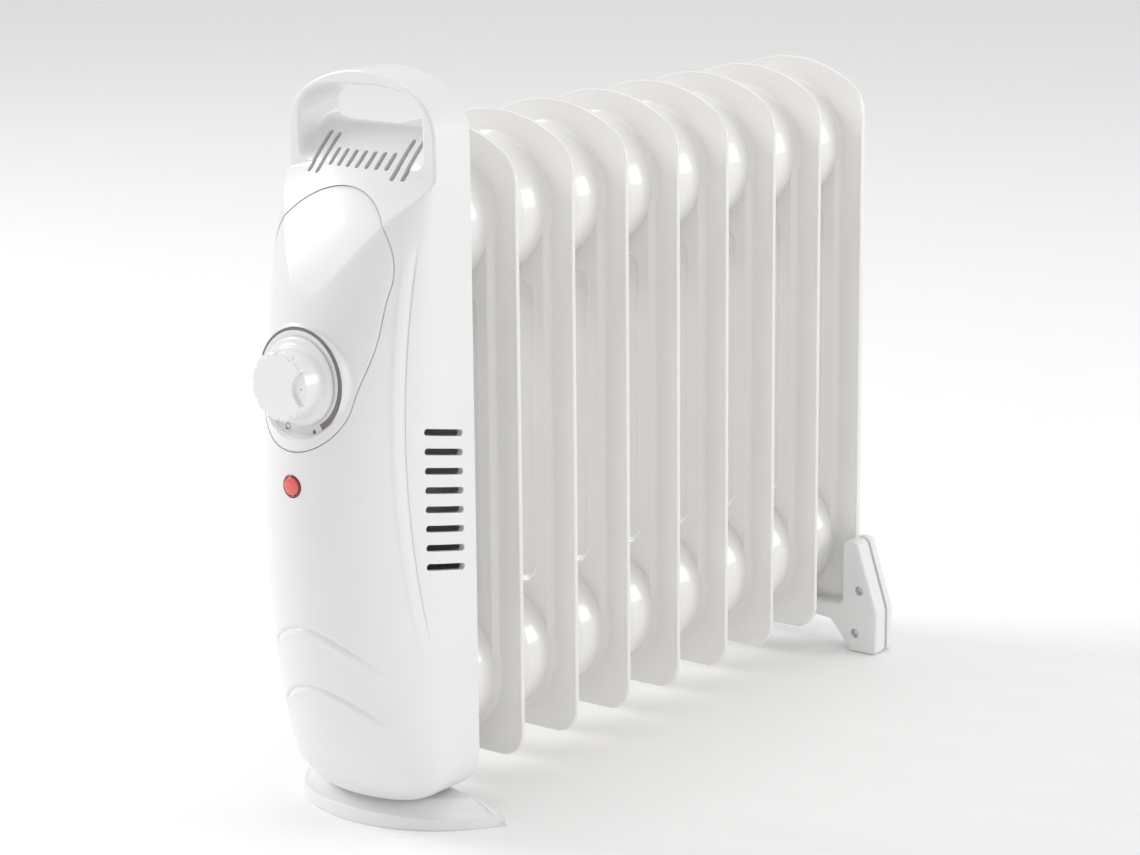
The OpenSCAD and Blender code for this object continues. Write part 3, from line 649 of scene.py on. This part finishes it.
def teardrop(sizes, grow):
    """Outline of the dial plate: two circles, the lower one round the knob, and bulged sides."""
    low_r, high_r = sizes.plate_low / MM + grow, sizes.plate_high / MM + grow
    low_z, high_z = KNOB_Z - 4.5, KNOB_Z + 47
    lean = math.degrees(math.asin((high_r - low_r) / (high_z - low_z)))
    upper = arc(0, high_z, high_r, -lean, 180 + lean, 90)
    lower = arc(0, low_z, low_r, 180 + lean, 360 - lean, 60)
    side = []
    for t in np.linspace(0.03, 0.97, 30):
        bulge = 1.6 * math.sin(math.pi * t) ** 2
        side.append(lower[-1] * (1 - t) + upper[0] * t + [bulge, -bulge * 0.17])
    side = np.array(side)
    return np.concatenate([upper, side[::-1] * [-1, 1], lower, side])


def plate_rings(housing, dial, grow, proud, under, seat):
    """A slab with the teardrop's outline that follows the housing's surface."""
    edge = evenly(teardrop(dial, grow), 360)
    centre = np.array([0, KNOB_Z + 14])
    seat_depth = KNOB_BASE - 0.3

    def surface(flat):
        depth = front_depth(housing, flat[:, 0], flat[:, 1])
        if seat:
            r = np.hypot(flat[:, 0], flat[:, 1] - KNOB_Z)
            flatten = 1 - ease(24.3, 25.5, r)
            depth = depth * (1 - flatten) + seat_depth * flatten
        return depth

    top, bottom = [], []
    for f in np.concatenate([[0, 0.006, 0.014], np.linspace(0.03, 1, 70)]):
        flat = edge + (centre - edge) * f
        depth = surface(flat)
        rounding = 0.35 * max(0.0, 1 - f / 0.014) ** 2 if seat else 0
        top.append(np.stack([flat[:, 0], FIRST_Y - depth - proud + rounding, flat[:, 1]], 1))
        low = front_depth(housing, flat[:, 0], flat[:, 1])
        if seat:
            low = np.minimum(low, depth)
        bottom.append(np.stack([flat[:, 0], FIRST_Y - low + under, flat[:, 1]], 1))
    return top[::-1] + bottom


class RADIATOR_OT_front_cover(bpy.types.Operator):
    """Moulds the bowed front cover with its handle, vents and recess"""

    bl_idname = "radiator.front_cover"
    bl_label = "Front Cover"

    def execute(self, context):
        sizes = context.scene.radiator_housing
        dial = context.scene.radiator_dial
        colours = context.scene.radiator_colours
        wall = sizes.wall / MM
        slot, side_slot = sizes.slot / MM, (26.5, 3.1)
        top_pitch, side_pitch = 5.45, 8.9
        before = FIRST_Y - 130
        outer = housing_rings(sizes, 900, 170, 0.0, COVER_BACK, COVER_EDGE)
        body = piece("moulded_front_cover", [outer], 35)
        # the cavity is open at the back and stops below the finger opening
        ceiling = COVER_TOP - OPENING_DROP - wall
        hollow = housing_rings(sizes, 260, 44, wall, COVER_BACK - 2, 0.0)
        hollow = [np.stack([r[:, 0], r[:, 1], np.minimum(r[:, 2], ceiling)], 1) for r in hollow]
        seat = lathe([(SEAT_R, before), (SEAT_R, FIRST_Y - 82)], 0, KNOB_Z)
        lamp = lathe([(LAMP_HOLE_R, before), (LAMP_HOLE_R, FIRST_Y - 90)], 0, LAMP_Z, 64)
        tools = [
            piece("hollow_tool", [hollow]),
            opening_tool(sizes),
            piece("recess_tool", [plate_rings(sizes, dial, 0.35, 12, 1.7, False)]),
            piece("seat_tool", [seat]),
            piece("lamp_tool", [lamp]),
        ]
        for i in range(-5, 6):
            long = abs(i) > 3
            run = 24 if long else 10.5
            z = COVER_TOP - (39 if long else 39.9)
            x = i * top_pitch
            depth = float(slope_depth(sizes, np.array([x]), np.array([z]), 0)[0])
            lean = (z - COVER_TOP + SLOPE_DROP) / (depth + SLOPE_BACK)
            centre = (x, FIRST_Y - depth, z)
            tools.append(slot_tool(centre, (0, lean, 1), (0, -1, lean), (run, slot), 9))
        for k in range(8):
            for s in (-1, 1):
                centre = (s * COVER_HALF, FIRST_Y - 51.5, COVER_BOTTOM + 175.6 - side_pitch * k)
                tools.append(slot_tool(centre, (0, -1, 0.2), (1, 0, 0), side_slot, 14))
        cut(body, tools, 35)
        plastic = finish("white_moulding", colours.plastic, 0.3, 420, 0.05, coat=0.25)
        body.data.materials.clear()
        body.data.materials.append(plastic)
        place(body, "root", "white_plastic", "front_cover")
        return {"FINISHED"}


class RADIATOR_OT_dial_plate(bpy.types.Operator):
    """Fits the flush teardrop plate and prints its scale"""

    bl_idname = "radiator.dial_plate"
    bl_label = "Dial Plate"

    def execute(self, context):
        scene = context.scene
        colours = scene.radiator_colours
        rings = plate_rings(scene.radiator_housing, scene.radiator_dial, -0.15, 0.0, 1.5, True)
        plate = piece("teardrop_dial_plate", [rings], 35)
        mat = finish("printed_plate", colours.plastic, 0.28, 420, 0.04, coat=0.25)
        dial_scale(mat, colours.print_grey)
        plate.data.materials.append(mat)
        place(plate, "root", "white_plastic", "dial_plate")
        return {"FINISHED"}


class RADIATOR_OT_knob(bpy.types.Operator):
    """Turns the thermostat knob with its grip notches and pointer scoop"""

    bl_idname = "radiator.knob"
    bl_label = "Thermostat Knob"

    def execute(self, context):
        sizes = context.scene.radiator_dial
        colours = context.scene.radiator_colours
        face, skirt, scoop = sizes.face / MM, sizes.skirt / MM, sizes.scoop / MM
        high = KNOB_FACE - KNOB_BASE
        a = np.linspace(0, 2 * math.pi, 480, endpoint=False)
        flare = skirt - face - 1.5
        # radius and height of the knob's side: face, rim, wall, flare and skirt
        side = np.concatenate([
            [(r, high) for r in np.linspace(0.2, face - 1, 44)],
            [(face - 1 + math.sin(t), high - 1 + math.cos(t)) for t in np.linspace(0.15, math.pi / 2, 7)],
            [(face + 0.9 * t, high - 1 - 9 * t) for t in np.linspace(0.06, 1, 18)],
            [(face + 0.9 + flare * t**2, high - 10 - 2.4 * t**0.7) for t in np.linspace(0.1, 1, 12)],
            [(skirt - 0.3, high - 12.7), (skirt, high - 13.1), (skirt, 0.5), (skirt - 0.5, 0.0)],
            [(SPINDLE_R, 0.0)],
        ])
        # grip notches round the rim, as a share of full depth; none where the scoop runs out
        from_notch = ((a * NOTCHES / (2 * math.pi) + 0.5) % 1 - 0.5) * 2 * math.pi * face / NOTCHES
        notch = np.exp(-((from_notch / 0.75) ** 2))
        notch = notch * (np.abs((a + math.pi) % (2 * math.pi) - math.pi) > 0.5)
        rings = []
        for r, up in side:
            share = ease(face - 3, face - 0.5, r) * (1 - ease(0.5, 5, high - up))
            radius = r - 1.2 * notch * share
            x, z = radius * np.cos(a), radius * np.sin(a)
            scooped = scoop * ease(0, 0.6, x - (8.3 + z * z / 13))
            level = np.minimum(up, high - scooped)
            rings.append(np.stack([x, KNOB_BACK - level, z + KNOB_Z], 1))
        knob = piece("thermostat_dial_knob", [rings], 32)
        lighter = [min(1, c * 1.03) for c in colours.plastic]
        mat = finish("knob_moulding", lighter, 0.26, 500, 0.04, coat=0.3)
        print_and_painted_shade(mat, colours.print_grey, spot(mat, POINTER_DOT_X, KNOB_Z, 0.4))
        knob.data.materials.append(mat)
        place(knob, "dial", "knob_plastic", "knob")
        return {"FINISHED"}


class RADIATOR_OT_lamp(bpy.types.Operator):
    """Moulds the domed power lamp lens"""

    bl_idname = "radiator.lamp"
    bl_label = "Power Lamp"

    def execute(self, context):
        colours = context.scene.radiator_colours
        r = LENS_HI[0]
        front = LENS_LO[1]
        dome = [
            (0.15 + (r - 1.0) * math.sin(t), front + 1.1 * (1 - math.cos(t)))
            for t in np.linspace(0, 1.45, 14)
        ]
        rim = [
            (r - 0.75, front + 1.25), (r - 0.35, front + 1.0), (r - 0.05, front + 1.3),
            (r, front + 2), (r, LENS_HI[1]),
        ]
        lens = piece("power_lamp_lens", [lathe(dome + rim, 0, LAMP_Z, 96)], 40)
        mat = finish("red_lens", colours.lens, 0.12, 600, 0.05, coat=0.6, spread=0.1)
        shader = mat.node_tree.nodes["Principled BSDF"]
        shader.inputs["Subsurface Weight"].default_value = 0.25
        shader.inputs["Subsurface Radius"].default_value = (0.002, 0.0006, 0.0005)
        # painted shade: a darker red ring laid over the lens rim, darkening its groove and lip where
        # shade falls
        ring = calc(mat, "GREATER_THAN", radius_of(mat, 0, LAMP_Z), (r - 0.9) * MM)
        print_and_painted_shade(mat, (0.35, 0.03, 0.025), ring)
        lens.data.materials.append(mat)
        place(lens, "root", "lamp_red", "lamp_lens")
        return {"FINISHED"}


# ---------------------------------------------------------------- feet
class RADIATOR_OT_front_foot(bpy.types.Operator):
    """Moulds the crescent front foot"""

    bl_idname = "radiator.front_foot"
    bl_label = "Front Foot"

    def execute(self, context):
        reach = span("front_foot")[1][0]
        plastic = context.scene.radiator_colours.plastic
        sweep = math.degrees(math.acos((reach - 2.7) / FOOT_R))
        front = arc(0, FIRST_Y - FOOT_BACK, FOOT_R, 180 + sweep, 360 - sweep, 160)
        tip_y = front[-1][1]
        t = np.linspace(1, -1, 120)
        back = np.stack([(reach - 2) * t, tip_y + 4.7 + 14 * (1 - np.abs(t) ** 1.5)], 1)
        plan = evenly(np.concatenate([front, [[reach, tip_y + 2]], back, [[-reach, tip_y + 2]]]), 420)
        # the middle is a thin loop, so that the flat top and bottom close
        middle_y = FIRST_Y - FOOT_MIDDLE
        spine = np.stack([plan[:, 0] * 0.5, middle_y + 0.08 * (plan[:, 1] - middle_y)], 1)
        rim = 2.4 + 4.6 * np.cos(np.clip(plan[:, 0] / reach, -1, 1) * math.pi / 2) ** 0.7
        at_back = ease(FIRST_Y - 36, FIRST_Y - 24, plan[:, 1])
        rim = rim * (1 - at_back) + 3.2 * at_back
        rings = [np.stack([spine[:, 0], spine[:, 1], np.zeros(len(plan))], 1)]
        for inward, z in ((0.05, 0), (0.015, 0), (0.004, 0.25), (0.0, 0.8)):
            flat = plan + (spine - plan) * inward
            rings.append(np.column_stack([flat, np.full(len(plan), float(z))]))
        for t in np.linspace(0, 1, 6)[1:]:
            flat = plan + (spine - plan) * 0.015 * t
            rings.append(np.column_stack([flat, 0.8 + (rim - 1.6) * t]))
        for a in np.linspace(0, math.pi / 2, 6)[1:]:
            flat = plan + (spine - plan) * (0.015 + 0.02 * (1 - math.cos(a)))
            rings.append(np.column_stack([flat, rim - 0.8 + 0.8 * math.sin(a)]))
        top = COVER_BOTTOM - 0.5
        for f in np.linspace(0.05, 1, 26):
            flat = plan + (spine - plan) * f
            crown = rim + (top - rim) * ease(0.02, 0.55, np.full(len(plan), f))
            rings.append(np.column_stack([flat, crown]))
        foot = piece("crescent_front_foot", [rings], 45)
        foot.data.materials.append(finish("foot_moulding", plastic, 0.34, 420, 0.06, coat=0.15))
        place(foot, "root", "white_plastic", "front_foot")
        return {"FINISHED"}


def rear_foot_outline():
    """Outline of the rear foot: two leaning legs joined by an arched bar."""
    out, _, high = span("rear_foot_front")[1]
    inner = FIN_HALF - 3.7
    arch = FIN_BOTTOM - 3.2
    right = np.concatenate([
        [[0, arch], [26.5, arch], [34.8, arch - 0.7], [40, FIN_BOTTOM - 9.8]],
        arc(48.7, 2, 2, 200, 270, 6),
        arc(out - 3, 3, 3, -90, 0, 8),
        [[out, FIN_BOTTOM + 3.5], [out - 0.35, FIN_BOTTOM + 5.5]],
        arc(inner + 6.2, high - 4.5, 4.5, 20, 90, 10),
        arc(inner + 4, high - 4, 4, 90, 180, 8),
        [[inner, FIN_BOTTOM + 8], [inner - 2, FIN_BOTTOM + 6], [18, FIN_BOTTOM + 5.2]],
    ])
    saddle = arc(0, LOW_HEADER, BARREL_SADDLE, -66, -90, 12)
    right = np.concatenate([right, saddle])
    return np.concatenate([right, right[::-1][1:-1] * [-1, 1]])


class RADIATOR_OT_rear_foot(bpy.types.Operator):
    """Moulds both halves of the rear foot and sinks the screw holes in its front half"""

    bl_idname = "radiator.rear_foot"
    bl_label = "Rear Foot"

    def execute(self, context):
        colours = context.scene.radiator_colours
        plastic = finish("rear_foot_moulding", colours.plastic, 0.32, 420, 0.06, coat=0.15)
        edge = evenly(rear_foot_outline(), 700)
        soft, seam, head_r, screw_r = 1.8, 0.15, 2.6, 1.8
        y0, y1 = span("rear_foot_front")[0][1], span("rear_foot_front")[1][1]
        front = piece("rear_foot_front_half", [prism(edge, y0, y1, soft, seam)], 35)
        sink = [(head_r, y0 - 2), (head_r, y0 + 4), (screw_r, y0 + 4.01), (screw_r, y1 + 2)]
        holes = []
        for s in (-1, 1):
            for x, z in ((FIN_HALF + 7.2, FIN_BOTTOM + 14.9), (FIN_HALF + 5, FIN_BOTTOM - 9.3)):
                holes.append(piece("hole_tool", [lathe(sink, s * x, z, 40)]))
        cut(front, holes, 35)
        front.data.materials.clear()
        back_y = span("rear_foot_back")[1][1]
        back = piece("rear_foot_back_half", [prism(edge, LAST_Y + 1.2, back_y, seam, soft)], 35)
        for half, node in ((front, "rear_foot_front"), (back, "rear_foot_back")):
            half.data.materials.append(plastic)
            place(half, "root", "white_plastic", node)
        return {"FINISHED"}


class RADIATOR_OT_carried_parts(bpy.types.Operator):
    """Gives the parts that keep their modelled shape their own finishes"""

    bl_idname = "radiator.carried_parts"
    bl_label = "Carried Parts"

    def execute(self, context):
        colours = context.scene.radiator_colours
        slots = {entry["node"]: entry["material_slot"] for entry in frame["record"]["subparts"]}
        made = {}
        for entry in frame["record"]["materials"]:
            metal = 1.0 if entry["class"] in ("brushed_steel", "brass") else 0.0
            base = colours.enamel if entry["slot"] == "fin_enamel" else entry["base_color"][:3]
            if entry["slot"] == "white_plastic":
                base = colours.plastic
            made[entry["slot"]] = finish(
                "carried_" + entry["slot"], base, 0.35 if metal else 0.45, 350, 0.1,
                metallic=metal, spread=0.06,
            )
        for name, obj in frame["nodes"].items():
            if obj.hide_render:
                continue
            obj.data.materials.clear()
            obj.data.materials.append(made[slots[name]])
        return {"FINISHED"}


# ---------------------------------------------------------------- stage
class RADIATOR_OT_stage(bpy.types.Operator):
    """Sets the pale floor, the soft studio light and the camera"""

    bl_idname = "radiator.stage"
    bl_label = "Stage"

    def execute(self, context):
        scene = context.scene
        pale = finish("pale_floor", scene.radiator_colours.floor, 0.7, 60, 0.02, spread=0.005)
        mesh = bpy.data.meshes.new("floor")
        half = 4.0
        corners = [(-half, -half, 0), (half, -half, 0), (half, half, 0), (-half, half, 0)]
        mesh.from_pydata(corners, [], [(0, 1, 2, 3)])
        floor = bpy.data.objects.new("floor", mesh)
        scene.collection.objects.link(floor)
        floor.data.materials.append(pale)
        world = bpy.data.worlds.new("studio")
        world.use_nodes = True
        sky = world.node_tree.nodes["Background"]
        sky.inputs["Color"].default_value = (1, 1, 1, 1)
        sky.inputs["Strength"].default_value = 0.7
        scene.world = world
        scene.view_settings.view_transform = "Standard"
        softboxes = (
            ("key", (-2.1, -0.9, 1.7), 1.1, 30),
            ("side", (2.1, 1.3, 0.7), 1.0, 15),
            ("top", (0.1, 0.3, 2.4), 1.4, 8),
        )
        aim = Vector((0, 0, 0.17))
        for name, where, size, power in softboxes:
            light = bpy.data.lights.new(name, "AREA")
            light.size = size
            light.energy = power
            lamp = bpy.data.objects.new(name, light)
            lamp.location = where
            lamp.rotation_euler = (aim - Vector(where)).to_track_quat("-Z", "Y").to_euler()
            scene.collection.objects.link(lamp)
        set_camera(scene)
        return {"FINISHED"}


def set_camera(scene):
    """A long lens, from the right of the front and a little above."""
    data = bpy.data.cameras.new("camera")
    data.lens, data.sensor_width = 98.72, 36
    data.clip_start, data.clip_end = 0.05, 50
    yaw, pitch, roll = math.radians(36.974), math.radians(13.288), math.radians(-0.512)
    ahead = Vector((-math.sin(yaw) * math.cos(pitch), math.cos(yaw) * math.cos(pitch), -math.sin(pitch)))
    level = ahead.cross(Vector((0, 0, 1))).normalized()
    over = level.cross(ahead)
    right = math.cos(roll) * level + math.sin(roll) * over
    up = -math.sin(roll) * level + math.cos(roll) * over
    camera = bpy.data.objects.new("camera", data)
    place_at = Vector((0.9055, (FIRST_Y - 1103.7) * MM, 0.5105))
    turn = Matrix((right, up, -ahead)).transposed()
    camera.matrix_world = Matrix.Translation(place_at) @ turn.to_4x4()
    scene.collection.objects.link(camera)
    scene.camera = camera


class RADIATOR_PT_sidebar(bpy.types.Panel):
    """Lists the operators that build the radiator"""

    bl_label = "Oil Radiator"
    bl_idname = "RADIATOR_PT_sidebar"
    bl_space_type = "VIEW_3D"
    bl_region_type = "UI"
    bl_category = "Radiator"

    def draw(self, context):
        for operator in OPERATORS:
            self.layout.operator(operator.bl_idname)


OPERATORS = (
    RADIATOR_OT_fins, RADIATOR_OT_front_cover, RADIATOR_OT_dial_plate, RADIATOR_OT_knob, RADIATOR_OT_lamp,
    RADIATOR_OT_front_foot, RADIATOR_OT_rear_foot, RADIATOR_OT_carried_parts, RADIATOR_OT_stage,
)
GROUPS = {
    "radiator_fins": RadiatorFinSizes,
    "radiator_housing": RadiatorHousingSizes,
    "radiator_dial": RadiatorDialSizes,
    "radiator_colours": RadiatorFinishColours,
}


def register():
    for cls in (*GROUPS.values(), *OPERATORS, RADIATOR_PT_sidebar):
        bpy.utils.register_class(cls)
    for name, group in GROUPS.items():
        setattr(bpy.types.Scene, name, bpy.props.PointerProperty(type=group))


def unregister():
    for name in GROUPS:
        delattr(bpy.types.Scene, name)
    for cls in (RADIATOR_PT_sidebar, *reversed(OPERATORS), *GROUPS.values()):
        bpy.utils.unregister_class(cls)


def main():
    """Builds every piece."""
    register()
    for operator in OPERATORS:
        group, name = operator.bl_idname.split(".")
        getattr(getattr(bpy.ops, group), name)()


if __name__ == "__main__":
    main()
